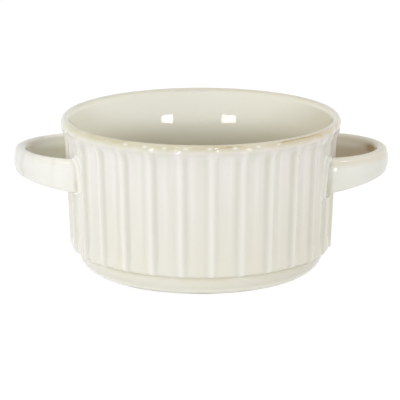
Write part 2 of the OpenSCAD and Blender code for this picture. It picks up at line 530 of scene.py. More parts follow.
class NodeDesk:
    """Lays out the nodes of one tree, so that a finish or a light reads as a short list of steps."""

    def __init__(self, tree: bpy.types.NodeTree) -> None:
        """Starts from an empty tree."""
        self.tree = tree
        self.tree.nodes.clear()

    def feed(self, node: bpy.types.Node, inputs: dict[str | int, object]) -> None:
        """Gives a node its inputs.

        Args:
            node: The node.
            inputs: For each input, by name or place, the socket that feeds it or its value.
        """
        for key, value in inputs.items():
            if isinstance(value, Socket):
                self.tree.links.new(value, node.inputs[key])
            else:
                node.inputs[key].default_value = value

    def add(self, kind: str, inputs: dict[str | int, object]) -> bpy.types.Node:
        """Adds a node.

        Args:
            kind: The node's kind, as in its type name after ShaderNode.
            inputs: Its inputs, as feed takes them.

        Returns:
            The new node.
        """
        node = self.tree.nodes.new(f"ShaderNode{kind}")
        self.feed(node, inputs)
        return node

    def place(self) -> Socket:
        """The point in the object's own space."""
        return self.add("TexCoord", {}).outputs["Object"]

    def axis(self, name: str) -> Socket:
        """One coordinate of the point in the object's own space."""
        return self.add("SeparateXYZ", {"Vector": self.place()}).outputs[name]

    def painted(self, name: str) -> Socket:
        """Reads the number that a mesh holds for each of its points.

        Args:
            name: The name under which the mesh holds it.

        Returns:
            The number, which is 0 where the mesh holds none.
        """
        node = self.add("Attribute", {})
        node.attribute_name = name
        return node.outputs["Fac"]

    def noise(self, size: float, detail: float, stretch: Triple) -> Socket:
        """A clouded noise.

        Args:
            size: Width of one cloud.
            detail: How many finer layers it has.
            stretch: Scale along each axis, under 1 for longer clouds.

        Returns:
            The noise as a socket from 0 to 1.
        """
        place = self.add("Mapping", {"Vector": self.place(), "Scale": stretch}).outputs["Vector"]
        return self.add("TexNoise", {"Vector": place, "Scale": 1.0 / size, "Detail": detail}).outputs["Fac"]

    def ramp(self, source: Socket, low: float, high: float, start: float = 0.0, end: float = 1.0) -> Socket:
        """Eases a socket from one range to another.

        Args:
            source: The socket to map.
            low: Value that gives start.
            high: Value that gives end.
            start: Result at and below low.
            end: Result at and above high.

        Returns:
            The mapped socket.
        """
        inputs = {"Value": source, "From Min": low, "From Max": high, "To Min": start, "To Max": end}
        node = self.add("MapRange", inputs)
        node.interpolation_type = "SMOOTHSTEP"
        return node.outputs["Result"]

    def figure(self, kind: str, first: Socket, second: Socket | float, held: bool = False) -> Socket:
        """Adds one step of arithmetic.

        Args:
            kind: The operation's name.
            first: The first number.
            second: The second number.
            held: Whether the result is held between 0 and 1.

        Returns:
            The result.
        """
        node = self.add("Math", {0: first, 1: second})
        node.operation = kind
        node.use_clamp = held
        return node.outputs["Value"]

    def times(self, first: Socket, second: Socket) -> Socket:
        """The product of two sockets, held between 0 and 1."""
        return self.figure("MULTIPLY", first, second, True)

    def mix(self, share: Socket, first: Socket | Colour, second: Socket | Colour) -> Socket:
        """Mixes two colours.

        Args:
            share: Share of the second colour.
            first: The first colour.
            second: The second colour.

        Returns:
            The mixed colour.
        """
        node = self.add("Mix", {})
        node.data_type = "RGBA"
        ends = [colour if isinstance(colour, Socket) else (*colour, 1.0) for colour in (first, second)]
        self.feed(node, {"Factor": share, 6: ends[0], 7: ends[1]})
        return node.outputs[2]

    def tint(self, share: Socket, colour: Socket, glass: Colour) -> Socket:
        """Tints a colour as if it was seen through coloured glass.

        Args:
            share: How much of the tint is taken.
            colour: The colour to tint.
            glass: The share of red, green and blue that the tint lets through.

        Returns:
            The tinted colour.
        """
        mixed = self.mix(share, colour, glass)
        mixed.node.blend_type = "MULTIPLY"
        return mixed

    def blend(self, share: Socket, first: Socket, second: Socket) -> Socket:
        """Mixes two shaders by a share of the second."""
        return self.add("MixShader", {"Fac": share, 1: first, 2: second}).outputs["Shader"]


class MaterialDesk(NodeDesk):
    """A desk for one material, with its shader and its output in place."""

    def __init__(self, name: str) -> None:
        """Starts the material with a plain shader.

        Args:
            name: The material's name.
        """
        self.material = bpy.data.materials.new(name)
        self.material.use_nodes = True
        super().__init__(self.material.node_tree)
        self.shader = self.add("BsdfPrincipled", {})
        self.output = self.add("OutputMaterial", {"Surface": self.shader.outputs["BSDF"]})


@dataclass(frozen=True)
class GlazeMaker:
    """Mixes one glaze by a finish, with the bare clay under the foot, for a bowl of the form's sizes."""

    name: str
    finish: GlazeFinish
    form: BowlForm
    noise_detail: float = 2.0
    skin_detail: float = 1.0
    low_span: Ramp = (0.95, 0.05, 0.15, 0.9)
    high_span: Ramp = (0.5, 0.85, 0.0, 0.75)
    left_span: Ramp = (-1.0, -0.5, 0.4, 1.0)

    def along(self, desk: NodeDesk, axis: str, size: float, ramp: Ramp) -> Socket:
        """Eases a socket along an axis, by a ramp whose first two values are shares of a size."""
        return desk.ramp(desk.axis(axis), ramp[0] * size, ramp[1] * size, ramp[2], ramp[3])

    def glaze(self) -> bpy.types.Material:
        """Makes the glaze: streaked white to cream, warmer low down, tan where it thins, bare on the foot,
        with painted light and shade.

        Returns:
            The material, which reads the numbers painted on a piece for thin glaze, bare clay, painted light
            and shade inside, pooled glaze with painted shade, whiter glaze with painted highlights and
            painted light bounced from the floor, and takes 0 for those that the piece doesn't have.
        """
        finish = self.finish
        height = self.form.height
        radius = self.form.rim_radius
        desk = MaterialDesk(self.name)
        clouds = desk.noise(finish.cloud_size, self.noise_detail, finish.cloud_stretch)
        streaks = desk.noise(finish.streak_size, self.noise_detail, finish.streak_stretch)
        flecks = desk.noise(finish.fleck_size, self.noise_detail, finish.even)
        low_down = self.along(desk, "Z", height, self.low_span)
        low_down = desk.times(low_down, self.along(desk, "X", radius, self.left_span))
        creamy = desk.times(low_down, desk.ramp(clouds, *finish.cream_clouds))
        colour = desk.mix(creamy, finish.milk, finish.cream)
        high_up = self.along(desk, "Z", height, self.high_span)
        rosy = desk.times(high_up, desk.ramp(streaks, *finish.blush_streaks))
        colour = desk.mix(rosy, colour, finish.blush)
        colour = desk.mix(desk.ramp(streaks, *finish.sage_streaks), colour, finish.sage)
        # Painted light and shade inside: the inner colour, then the deep colour further down.
        depth = desk.painted("painted_inner_shade")
        colour = desk.mix(desk.ramp(depth, *finish.inner_start), colour, finish.inner)
        colour = desk.mix(desk.ramp(depth, *finish.inner_shade_start), colour, finish.inner_shade_colour)
        # Pooled glaze beside the ridges, partly painted shade; painted shade on the foot band; a real stain
        # on the handles.
        colour = desk.mix(desk.painted("pooled_glaze_and_shade"), colour, finish.pooled)
        # Whiter glaze with painted highlights on ridges, creases, lip, rim beads and slip beads.
        colour = desk.mix(desk.painted("whiter_glaze_and_highlight"), colour, finish.ridge)
        # Painted light bounced up from the floor, low on the foot band.
        foot = desk.times(desk.painted("painted_floor_bounce"), desk.ramp(clouds, *finish.foot_clouds))
        colour = desk.mix(foot, colour, finish.inner)
        # Painted shade: darker towards the right of the body and towards each handle's tip.
        colour = desk.tint(desk.ramp(desk.axis("X"), finish.painted_shade_from, finish.painted_shade_to), colour, finish.painted_shade_tint)
        thin = desk.times(desk.painted("thin_glaze"), desk.ramp(clouds, *finish.thin_clouds))
        sideways = desk.ramp(desk.axis("X"), -radius, radius)
        colour = desk.mix(thin, colour, desk.mix(sideways, finish.thin_left, finish.thin_right))
        colour = desk.mix(desk.ramp(thin, *finish.edge_start), colour, finish.edge)
        spots = desk.times(desk.ramp(flecks, *finish.fleck_spots), desk.ramp(clouds, *finish.fleck_clouds))
        colour = desk.mix(spots, colour, finish.thin_right)
        bare = desk.painted("bare_clay")
        relief = desk.noise(finish.skin_size, self.skin_detail, finish.even)
        bump = desk.add("Bump", {"Distance": finish.skin_depth, "Height": relief})
        desk.feed(desk.shader, {
            "Base Color": desk.mix(bare, colour, finish.bare),
            "Roughness": desk.ramp(bare, 0.0, 1.0, finish.gloss, finish.clay_roughness),
            "Specular IOR Level": finish.shine,
            "Normal": bump.outputs["Normal"],
        })
        return desk.material


@dataclass(frozen=True)
class BowlSkin:
    """The bowl's mesh points, and where on them the glaze thins, runs together, is whiter or is wiped off,
    and where light and shade are painted on them.

    Depths are measured down from the rim's crest, and places across are shares of the rim's radius. Each
    map gives a share from 0 to 1 for each point.
    """

    form: BowlForm
    profile: np.ndarray
    share: np.ndarray
    turn: np.ndarray
    rings: np.ndarray
    upper_radius: float = 50.0 * MM
    rim_outer_share: float = 0.75
    right_lean: float = 0.2
    right_span: Span = (0.0, 5.0 / 6.0)
    uneven_mean: float = 0.66
    uneven_sway: float = 0.3
    uneven_least: float = 0.2
    uneven_size: float = 30.0 * MM
    uneven_seed: int = 11
    line_tan: float = 1.45
    line_depth: float = 0.85 * MM
    line_lift: float = 0.17 * MM
    line_width: float = 0.38 * MM
    lip_tan: float = 0.85
    lip_span: Span = (1.6 * MM, -1.2 * MM)
    lip_end_loss: float = 0.45
    crest_loss: float = 0.4
    crest_span: Span = (0.4 * MM, -0.3 * MM)
    band_tan: float = 0.62
    band_span: Span = (3.6 * MM, -2.4 * MM)
    haze_tan: float = 0.28
    haze_span: Span = (6.4 * MM, -4.4 * MM)
    end_loss: float = 0.4
    end_span: Span = (0.89, 0.09)
    back_loss: float = 0.3
    back_span: Span = (-0.1, 0.4)
    patch_tan: float = 0.3
    patch_across: Span = (0.86, 0.05)
    patch_depth: Span = (2.0 * MM, 0.9 * MM)
    seam_tan: float = 0.35
    seam_width: float = 0.7 * MM
    groove_span: Span = (2.3 * MM, 1.1 * MM)
    groove_mean: float = 0.62
    groove_lean: float = 0.38
    groove_turn: float = 0.3
    groove_side_share: float = 0.45
    groove_facing: Span = (0.3, 0.4)
    groove_end: float = 1.0 * MM
    groove_fade: float = 6.0 * MM
    foot_shade_top: float = 0.6 * MM
    foot_shade_fade: float = 0.8 * MM
    foot_shade_low: Span = (1.5 * MM, 4.0 * MM)
    foot_shade_middle: float = 0.15
    foot_shade_sides: float = 0.55
    foot_shade_right: float = 0.2
    foot_shade_power: float = 1.5
    spot_depth: Span = (1.35 * MM, 0.5 * MM)
    spot_reach: Span = (34.0 * MM, 10.0 * MM)
    spot_radius: float = 60.0 * MM
    spot_power: int = 6
    white_lip: float = 0.9
    white_end: Span = (0.86, 0.09)
    white_span: Span = (1.4 * MM, -0.8 * MM)
    ridge_white: float = 0.85
    ridge_width: float = 1.0 * MM
    ridge_facing: Span = (0.45, 0.35)
    crease_white: float = 0.55
    crease_power: int = 8
    crease_span: Span = (12.0 * MM, 40.0 * MM)
    ridge_end: float = 2.0 * MM
    ridge_fade: float = 4.0 * MM
    # These shape the painted light and shade inside the bowl.
    inner_span: Span = (0.3 * MM, 2.5 * MM)
    inner_start: float = 0.04
    inner_sides: float = 0.44
    inner_right: float = 0.09
    floor_light: float = 0.42
    floor_span: Span = (48.0 * MM, -26.0 * MM)
    glow_span: Span = (2.2 * MM, 1.3 * MM)
    wiped_height: float = 1.0 * MM
    wiped_sway: float = 0.12 * MM
    wiped_size: float = 9.0 * MM
    wiped_seed: int = 5
    wiped_fade: float = 0.3 * MM
    wiped_radius: float = 20.0 * MM

    @property
    def z(self) -> np.ndarray:
        """Height of each point."""
        return self.rings[..., 2]

    @property
    def depth(self) -> np.ndarray:
        """How far each point lies below the rim's crest."""
        return self.form.height - self.z

    @property
    def across(self) -> np.ndarray:
        """Place of each point from the left, at -1, to the right, at 1."""
        return self.rings[..., 0] / self.form.rim_radius

    @property
    def radius(self) -> np.ndarray:
        """Distance of each point from the bowl's axis."""
        return np.hypot(self.rings[..., 0], self.rings[..., 1])

    @property
    def inside(self) -> np.ndarray:
        """How far each point lies inside a flute's outline."""
        return self.form.into_flute(self.turn, np.maximum(self.z, self.form.ledge_z))

    def past(self, radius: float) -> np.ndarray:
        """Tells, as 1 or 0, which rings of the turned profile lie outside a radius."""
        return (self.profile[:, :1] > radius).astype(float)

    def facing(self, span: Span) -> np.ndarray:
        """Eases from the bowl's two sides, at 0, to its front and its back, at 1."""
        return ease(np.abs(np.cos(self.turn)), *span)

    def maps(self) -> dict[str, np.ndarray]:
        """Works out all the maps.

        Returns:
            The maps, each under the name by which the glaze reads it.
        """
        return {
            "thin_glaze": self.thin_glaze(),
            "bare_clay": self.bare_clay(),
            "painted_inner_shade": self.painted_inner_shade(),
            "painted_floor_bounce": self.painted_floor_bounce(),
            "pooled_glaze_and_shade": self.grooves() + self.foot_painted_shade(),
            "whiter_glaze_and_highlight": self.ridges() + self.lip_painted_highlight(),
        }

    def thin_glaze(self) -> np.ndarray:
        """Where the glaze thins to tan: the outer edge of the rim and the seam over the foot band.

        Returns:
            The map, darkest on a fine line along the rim, with a wider haze below it.
        """
        depth = self.depth
        across = self.across
        upper = self.past(self.upper_radius)
        outside = self.past(self.form.rim_radius - self.form.lip * self.rim_outer_share)
        lean = self.right_lean * across
        right = ease(across, *self.right_span)
        uneven = self.uneven_mean + lean
        uneven = uneven + self.uneven_sway * ripple(self.rings, self.uneven_size, self.uneven_seed)
        uneven = np.clip(uneven, self.uneven_least, 1.0)
        line = hump(depth, self.line_depth - self.line_lift * right, self.line_width)
        line = line * (self.line_tan + lean) * uneven
        # Less tan on the crest at the right leaves a lighter line there, as a painted reflection.
        crest = 1.0 - self.crest_loss * right * ease(depth, *self.crest_span)
        band = self.band_tan * ease(depth, *self.band_span) + self.haze_tan * ease(depth, *self.haze_span)
        end = ease(np.abs(across), *self.end_span)
        back = ease(self.rings[..., 1] / self.form.rim_radius, *self.back_span)
        lip = self.lip_tan * ease(depth, *self.lip_span) * upper * crest * (1.0 - self.lip_end_loss * end)
        rim = np.maximum(lip, outside * np.maximum(line, band * crest))
        # The painted highlights on the rim's beads take the tan away.
        rim = rim * (1.0 - self.end_loss * end) * (1.0 - self.back_loss * back) * (1.0 - self.bead_painted_highlight())
        patch = self.patch_tan * outside * hump(across, *self.patch_across) * hump(depth, *self.patch_depth)
        seam = self.seam_tan * upper * uneven * hump(self.z, self.form.foot_band_height, self.seam_width)
        return np.clip(rim + patch + seam, 0.0, 1.0)

    def grooves(self) -> np.ndarray:
        """Where the glaze has run together beside each ridge, with painted shade that makes it darker on the
        side nearer the front.

        Returns:
            The map, weaker at the bowl's two sides.
        """
        count = self.form.flute_share(self.turn)
        lean = np.tanh(np.sin(self.turn) / self.groove_turn) * np.sign(count - np.round(count))
        strength = self.groove_mean - self.groove_lean * lean
        side_share = self.groove_side_share
        strength = strength * (side_share + (1.0 - side_share) * self.facing(self.groove_facing))
        below_end = ease(self.z, self.form.flute_end_z - self.groove_end, -self.groove_fade)
        return hump(self.inside, *self.groove_span) * strength * self.share[:, None] * below_end

    def foot_painted_shade(self) -> np.ndarray:
        """Painted shade on the foot band below the ledge, stronger towards both sides.

        Returns:
            The map, stronger at the right.
        """
        form = self.form
        across = self.rings[..., 0] / form.foot_band_radius
        strength = self.foot_shade_middle + self.foot_shade_sides * np.abs(across) ** self.foot_shade_power
        strength = np.clip(strength + self.foot_shade_right * across, 0.0, 1.0)
        band = ease(self.z, form.foot_band_height + self.foot_shade_top, -self.foot_shade_fade)
        band = band * ease(self.z, *self.foot_shade_low)
        return band * strength * self.past(form.foot_band_radius - form.foot_round)

    def bead_painted_highlight(self) -> np.ndarray:
        """Painted highlights: small white spots on the beads along the rim's front and back.

        Returns:
            The map, which fades out towards both sides.
        """
        around = np.clip(self.form.bead(self.turn), 0.0, 1.0) ** self.spot_power
        facing = 1.0 - ease(np.abs(self.rings[..., 0]), *self.spot_reach)
        return around * facing * hump(self.depth, *self.spot_depth) * (self.radius > self.spot_radius)

    def lip_painted_highlight(self) -> np.ndarray:
        """Painted highlights on the lip: along its crest at both sides of the bowl, and on the beads' spots.
        """
        white = ease(np.abs(self.across), *self.white_end) * ease(self.depth, *self.white_span)
        return np.maximum(self.white_lip * white * self.past(self.upper_radius), self.bead_painted_highlight())

    def ridges(self) -> np.ndarray:
        """Where the wall is whitest: lighter glaze with painted highlights on the crests of the ridges and
        on the flutes' soft creases.

        Returns:
            The map, which ends below the flutes' upper ends.
        """
        crest = self.ridge_white * hump(self.inside, 0.0, self.ridge_width) * self.facing(self.ridge_facing)
        crease = self.crease_white * self.form.crease(self.turn) ** self.crease_power
        crease = crease * ease(self.z, *self.crease_span)
        below_end = ease(self.z, self.form.flute_end_z - self.ridge_end, -self.ridge_fade)
        return (crest + crease) * self.share[:, None] * below_end

    def painted_inner_shade(self) -> np.ndarray:
        """Painted light and shade inside the bowl: a lighter colour under the rim that darkens towards the
        floor and at the sides, most at the right.

        Returns:
            The map, which is lighter again in the middle of the floor.
        """
        form = self.form
        across = self.across
        lip_z = form.height - form.lip / 2.0
        after_crest = np.arange(len(self.profile)) > np.argmax(self.profile[:, 1])
        down = np.clip((lip_z - self.z) / (lip_z - form.foot_recess - form.floor), 0.0, 1.0)
        start = self.inner_start + self.inner_sides * across ** 2
        start = start + self.inner_right * np.maximum(across, 0.0)
        open_floor = 1.0 - self.floor_light * ease(self.radius, *self.floor_span)
        inner = ease(self.depth, *self.inner_span) * after_crest[:, None]
        return inner * (start + (1.0 - start) * down) * open_floor

    def painted_floor_bounce(self) -> np.ndarray:
        """Painted light low on the foot band, standing in for light bounced up from the floor."""
        return hump(self.z, *self.glow_span) * self.past(self.form.foot_band_radius - self.form.foot_round)

    def bare_clay(self) -> np.ndarray:
        """Where the clay is bare: the standing face, wiped clean of glaze."""
        wiped = self.wiped_height + self.wiped_sway * ripple(self.rings, self.wiped_size, self.wiped_seed)
        return ease(self.z - wiped, 0.0, -self.wiped_fade) * self.past(self.wiped_radius)


@dataclass(frozen=True)
class BowlBody:
    """The bowl itself: fluted wall, rim, floor and foot in one piece."""

    form: BowlForm
    columns_per_flute: int = 30
    bunching: float = 0.55
    hub: float = 0.2 * MM
    floor_hub: float = 0.3 * MM
    ring_edge: Span = (0.3 * MM, 0.2 * MM)
    face_edge: float = 0.6 * MM
    seam_edge: Span = (0.1 * MM, 0.4 * MM)
    foot_start: float = -88.0
    ledge_start: float = -62.0
    recess_steps: int = 10
    ring_steps: int = 4
    face_steps: int = 5
    foot_steps: int = 14
    seam_steps: int = 6
    ledge_steps: int = 8
    wall_points: int = 36
    flare_points: int = 34
    band_steps: int = 3
    lip_steps: int = 22
    inner_points: int = 70
    corner_steps: int = 18
    floor_steps: int = 14
    wave_share: Span = (0.5, 0.4)
    sway: float = 0.10 * MM
    sway_size: float = 60.0 * MM
    sway_fade: float = 20.0 * MM
    sway_seed: int = 3

    def profile(self) -> tuple[np.ndarray, np.ndarray]:
        """Lays out the turned profile from the middle of the recess round to the middle of the floor.

        Returns:
            The points as radius and height, and for each the share of the flutes' depth that it takes.
        """
        form = self.form
        band = form.foot_band_radius
        out = band - form.foot_round
        ring = out - form.foot_ring
        ring_edge = (ring - self.ring_edge[0], self.ring_edge[1])
        recess = form.foot_recess
        seam = (band - form.seam_depth, form.foot_band_height)
        edge = form.ridge_foot - form.ledge_round
        ledge = arc(edge, form.ledge_z, form.ledge_round, self.ledge_start, 0.0, self.ledge_steps)
        wall_z = np.linspace(form.ledge_z, form.flare_foot_z, self.wall_points)[1:]
        flare_z = np.linspace(form.flare_foot_z, form.flare_top_z, self.flare_points)[1:]
        lip = form.lip / 2.0
        lip_z = form.height - lip
        flat = np.concatenate([
            straight((self.hub, recess), (ring - recess, recess), self.recess_steps),
            straight((ring - recess, recess), ring_edge, self.ring_steps)[1:],
            straight((ring, 0.0), (out - self.face_edge, 0.0), self.face_steps),
            arc(out, form.foot_round, form.foot_round, self.foot_start, 0.0, self.foot_steps),
            np.array([(band - self.seam_edge[0], seam[1] - self.seam_edge[1]), seam]),
        ])
        slope = straight(seam, tuple(ledge[0]), self.seam_steps)[1:-1]
        wall = np.stack([form.ridge_radius(wall_z), wall_z], axis=1)
        flared = np.stack([form.ridge_radius(flare_z) + form.flare(flare_z), flare_z], axis=1)
        fluted = np.concatenate([ledge, wall, flared])
        crown = arc(form.rim_radius - lip, lip_z, lip, 0.0, 180.0 - form.inner_tilt, self.lip_steps)
        rest = np.concatenate([
            straight((form.rim_radius, form.flare_top_z), (form.rim_radius, lip_z), self.band_steps)[1:],
            crown[1:],
            self.inside(tuple(crown[-1])),
        ])
        growing = np.linspace(0.0, 1.0, len(slope) + 2)[1:-1]
        share = np.concatenate([np.zeros(len(flat)), growing, np.ones(len(fluted)), np.zeros(len(rest))])
        return np.concatenate([flat, slope, fluted, rest]), share

    def inside(self, start: Span) -> np.ndarray:
        """Lays out the inner profile.

        Args:
            start: Radius and height at which the lip's rounding ends.

        Returns:
            Points as radius and height, from under the lip to the middle of the floor.
        """
        form = self.form
        floor = form.foot_recess + form.floor
        corner = form.inner_corner
        z = np.linspace(start[1], floor + corner, self.inner_points)
        radius = start[0] - self.inner_step(z)
        foot = radius[-1]
        return np.concatenate([
            np.stack([radius, z], axis=1)[1:],
            arc(foot - corner, floor + corner, corner, 0.0, -90.0, self.corner_steps)[1:],
            straight((foot - corner, floor), (self.floor_hub, floor), self.floor_steps)[1:],
        ])

    def inner_step(self, z: np.ndarray) -> np.ndarray:
        """How far the inner wall has closed in below the lip.

        Args:
            z: Heights from the lip down, evenly spaced.

        Returns:
            The distance at each height, which grows fast in the flare and slowly below it.
        """
        form = self.form
        upright = math.degrees(math.atan(form.taper / (form.flare_foot_z - form.ledge_z)))
        rise = np.clip((z - form.inner_tilt_low) / (form.inner_tilt_high - form.inner_tilt_low), 0.0, 1.0)
        slope = np.tan(np.radians(upright + (form.inner_tilt - upright) * rise))
        drop = -np.diff(z)
        return np.concatenate([[0.0], np.cumsum((slope[:-1] + slope[1:]) / 2.0 * drop)])

    def turns(self) -> np.ndarray:
        """Angles of the mesh's columns, bunched towards the ridges.

        Returns:
            The angles in radians, from the first ridge once round.
        """
        per = self.columns_per_flute
        share = np.arange(self.form.flutes * per) / per
        bent = share - self.bunching * np.sin(2.0 * math.pi * share) / (2.0 * math.pi)
        return math.radians(self.form.flute_turn) + bent * 2.0 * math.pi / self.form.flutes

    def build(self) -> bpy.types.Object:
        """Makes the mesh and paints where its glaze thins, runs together or is bare, and where light and
        shade are painted on it.

        Returns:
            The bowl's object.
        """
        form = self.form
        profile, share = self.profile()
        turn, z = np.meshgrid(self.turns(), profile[:, 1])
        start, length = self.wave_share
        outer = ease(profile[:, :1], form.rim_radius - form.lip * start, form.lip * length)
        radius = profile[:, :1] - form.flute_cut(turn, z) * share[:, None] + form.rim_wave(turn, z) * outer
        rings = np.stack([radius * np.sin(turn), -radius * np.cos(turn), z], axis=-1)
        sway = self.sway * ripple(rings, self.sway_size, self.sway_seed) * ease(z, 0.0, self.sway_fade)
        rings[..., :2] *= (1.0 + sway / np.maximum(radius, self.sway_fade))[..., None]
        piece = ring_mesh("glazed_bowl", rings)
        paint(piece, BowlSkin(form, profile, share, turn, rings).maps())
        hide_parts("bowl_body")
        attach(piece, "root")
        return piece


@dataclass(frozen=True)
class StrapCut:
    """One section of a strap: its place on the loop, its points as across and up, and its glaze.

    The bend is the loop's angle, which is 0 at the tip, and the radius is the section's distance from the
    bowl's axis. Each map gives a share from 0 to 1 for each point.
    """

    form: StrapForm
    bend: float
    radius: float
    height: float
    outline: np.ndarray
    upper_fade: float = 2.6 * MM
    lower_tan: float = 0.15
    lower_edge: float = 1.2 * MM
    root_span: Span = (0.3, 0.7)
    root_tan: float = 0.1
    root_low_tan: float = 0.42
    root_low_fade: float = 3.5 * MM
    stain_bend: Span = (0.33, 0.3)
    stain_place: Span = (3.4 * MM, 2.3 * MM)
    inner_span: Span = (-0.8 * MM, -1.2 * MM)
    inner_shade_height: float = 8.5 * MM
    inner_shade_root: float = 0.85

    @property
    def below_top(self) -> np.ndarray:
        """How far each point lies below the strap's upper edge."""
        return self.height / 2.0 - self.outline[:, 1]

    @property
    def inner_face(self) -> np.ndarray:
        """Share of each point that belongs to the loop's inner face."""
        return ease(self.outline[:, 0], *self.inner_span)

    def drop(self) -> np.ndarray:
        """How far a drop of glaze stands out of the outer face at the neck.

        Returns:
            The distance at each point.
        """
        neck_end = self.form.setting.neck_start + self.form.neck_length
        along = hump(self.radius, neck_end, self.form.drop_length)
        outer = self.outline[:, 0] > 0.0
        return self.form.setting.drop * outer * hump(self.below_top, *self.form.drop_place) * along

    def thin_glaze(self) -> np.ndarray:
        """Where the strap's glaze thins: along its edges, and low at its roots.

        Returns:
            The map.
        """
        setting = self.form.setting
        upper = setting.upper_tan * ease(self.below_top, setting.upper_tan_height, -self.upper_fade)
        upper = upper * (1.0 - self.tip_stain())
        lower = self.lower_tan * ease(self.below_top, self.height - self.lower_edge, self.lower_edge)
        from_wall = (self.radius - setting.neck_start) / self.form.neck_length
        root = 1.0 - ease(from_wall, *self.root_span)
        low = ease(self.below_top, setting.groove_tan_drop, self.root_low_fade)
        return np.clip(upper + lower + root * (self.root_tan + self.root_low_tan * low), 0.0, 1.0)

    def tip_stain(self) -> np.ndarray:
        """Where the glaze has pooled golden brown: on the inner face beside the loop's tip."""
        stain = self.form.setting.tip_stain * hump(self.bend, *self.stain_bend)
        return np.clip(stain * hump(self.below_top, *self.stain_place), 0.0, 1.0) * self.inner_face

    def painted_inner_shade(self) -> np.ndarray:
        """Painted shade on the loop's inner face: darker lower down, most at its tip."""
        strength = self.inner_shade_root + (1.0 - self.inner_shade_root) * math.cos(self.bend)
        return self.inner_face * ease(self.below_top, 0.0, self.inner_shade_height) * strength


@dataclass(frozen=True)
class StrapHandle:
    """One handle: a strap bent to an ear-shaped loop."""

    side: Side
    form: StrapForm
    cuts: int = 120
    last_bend: float = 89.0
    edge_steps: int = 9
    face_points: int = 17
    crown_power: float = 1.5
    neck_lowering: float = 0.25
    swell_round: float = 0.6
    least_face: float = 0.05 * MM

    def section(self, height: float, cut: float, swell: float) -> np.ndarray:
        """Outline of the strap's section, crowned on its two faces.

        Args:
            height: Height of the section.
            cut: How far its outer face is cut back, in the neck at the wall.
            swell: How far its inner face swells into the loop, at the tip.

        Returns:
            Points as across and up, about the middle of the plain section.
        """
        form = self.form
        steps = self.edge_steps
        outer = form.thickness / 2.0 - form.crown - cut
        inner = form.thickness / 2.0 - form.crown + swell
        half_h = height / 2.0 - cut * self.neck_lowering
        widest = (outer + inner) / 2.0 - self.least_face
        edge = min(form.edge_radius, widest)
        soft = min(form.edge_radius + swell * self.swell_round, widest)
        up = np.linspace(-1.0, 1.0, self.face_points)[1:-1]
        bulge = form.crown * (1.0 - up ** 2) ** self.crown_power
        return np.concatenate([
            arc(outer - edge, half_h - edge, edge, 0.0, 90.0, steps),
            arc(-inner + soft, half_h - soft, soft, 90.0, 180.0, steps),
            np.stack([-inner - bulge, -up * (half_h - soft)], axis=1),
            arc(-inner + soft, -half_h + soft, soft, 180.0, 270.0, steps),
            arc(outer - edge, -half_h + edge, edge, 270.0, 360.0, steps),
            np.stack([outer + bulge, up * (half_h - edge)], axis=1),
        ])

    def build(self) -> bpy.types.Object:
        """Sweeps the section round the loop and paints its glaze, with painted shade on the loop's inner
        face.

        Returns:
            The handle's object.
        """
        form = self.form
        order = -self.side.value
        rings = []
        maps = {"thin_glaze": [], "painted_inner_shade": [], "pooled_glaze_and_shade": []}
        for bend in np.radians(np.linspace(-self.last_bend, self.last_bend, self.cuts)):
            x = form.root_x + form.reach * math.cos(bend)
            y = form.centre_half_width * math.sin(bend)
            slope = Vector((-form.reach * math.sin(bend), form.centre_half_width * math.cos(bend)))
            across = Vector((slope.y, -slope.x)).normalized()
            radius = math.hypot(x, y)
            height = form.height(bend)
            neck = form.setting.neck * (1.0 - ease(radius, form.setting.neck_start, form.neck_length))
            swell = form.tip_swell * max(math.cos(bend), 0.0) ** 2
            cut = StrapCut(form, bend, radius, height, self.section(height, neck, swell))
            if bend < 0.0:
                cut.outline[:, 0] += cut.drop()
            out, up = cut.outline.T
            middle = form.top_z + form.rise(bend) - height / 2.0
            x = self.side.value * (x + across.x * out)
            rings.append(np.stack([x, y + across.y * out, middle + up], axis=1))
            maps["thin_glaze"].append(cut.thin_glaze())
            maps["painted_inner_shade"].append(cut.painted_inner_shade())
            maps["pooled_glaze_and_shade"].append(cut.tip_stain())
        piece = ring_mesh(f"{self.side.name.lower()}_strap_handle", np.array(rings)[::order])
        paint(piece, {name: np.array(values)[::order] for name, values in maps.items()})
        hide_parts(f"{self.side.name.lower()}_handle")
        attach(piece, "root")
        return piece


